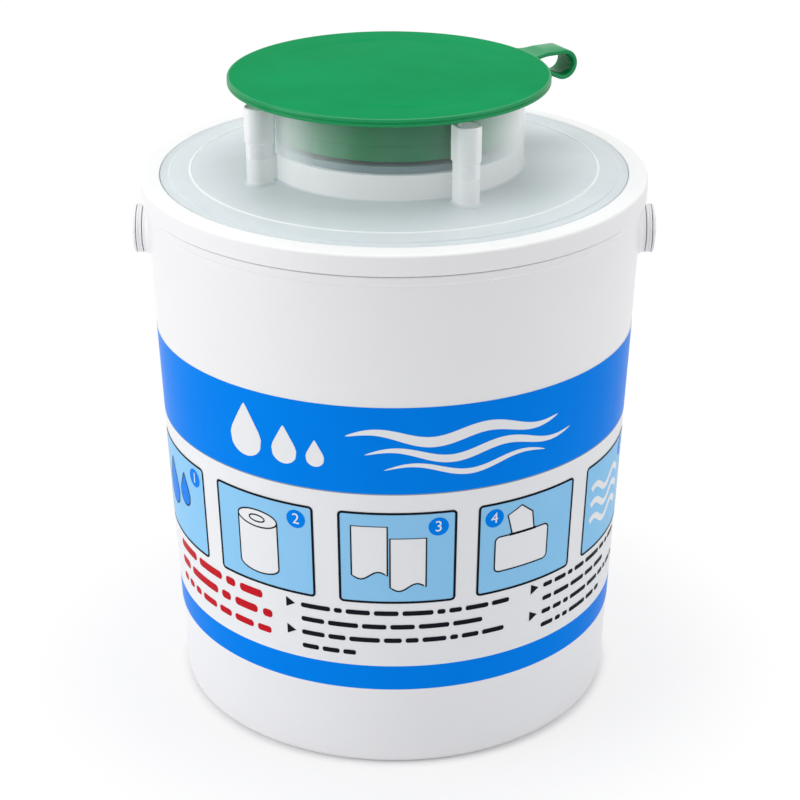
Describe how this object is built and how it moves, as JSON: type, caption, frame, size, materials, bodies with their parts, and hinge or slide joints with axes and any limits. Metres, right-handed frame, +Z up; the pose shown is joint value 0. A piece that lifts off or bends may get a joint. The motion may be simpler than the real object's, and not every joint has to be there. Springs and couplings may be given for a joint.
{
  "type": "wipes dispenser",
  "caption": "Round tapered pail of pull-through wipes with a press-on translucent lid, a tethered round cap over its collar and a hanging bail.",
  "frame": {"origin": "centre of the pail's flat base, on the surface it stands on", "axes": "+Z up along the pail's axis, -Y to the front (the middle of the printed side), X along the axis of the bail's two ears"},
  "size_m": [0.24, 0.2291, 0.2906],
  "materials": {
    "pail_plastic": "satin gloss",
    "label_print": "printed film",
    "bail_plastic": "satin gloss",
    "gasket_foam": "matt",
    "lid_translucent": "translucent satin",
    "ring_plastic": "satin gloss",
    "insert_plastic": "satin",
    "cap_plastic": "satin gloss",
    "wipes": "nonwoven"
  },
  "bodies": {
    "pail": {"pail": "pail_plastic", "label": "label_print", "bail_button_right": "bail_plastic", "bail_button_left": "bail_plastic", "wipe_roll": "wipes"},
    "lid": {"lid_plate": "lid_translucent", "lid_ring": "ring_plastic", "rim_gasket": "gasket_foam", "dispensing_insert": "insert_plastic", "wipe_tail": "wipes", "strap_anchor": "cap_plastic", "cap_strap": "cap_plastic"},
    "cap": {"cap": "cap_plastic"},
    "bail": {"bail": "bail_plastic"}
  },
  "joints": [
    {"name": "lid_lift", "type": "slide", "parent": "pail", "child": "lid", "axis": [0, 0, 1], "range_m": [0, 0.065]},
    {"name": "cap_hinge", "type": "hinge", "parent": "lid", "child": "cap", "pos_m": [0.07346, 0.03906, 0.2838], "axis": [-0.4695, 0.8829, 0], "range_deg": [0, 135], "deforming": ["cap_strap"]},
    {"name": "bail_swing", "type": "hinge", "parent": "pail", "child": "bail", "pos_m": [0, 0, 0.218], "axis": [1, 0, 0], "range_deg": [0, 226.4]}
  ]
}
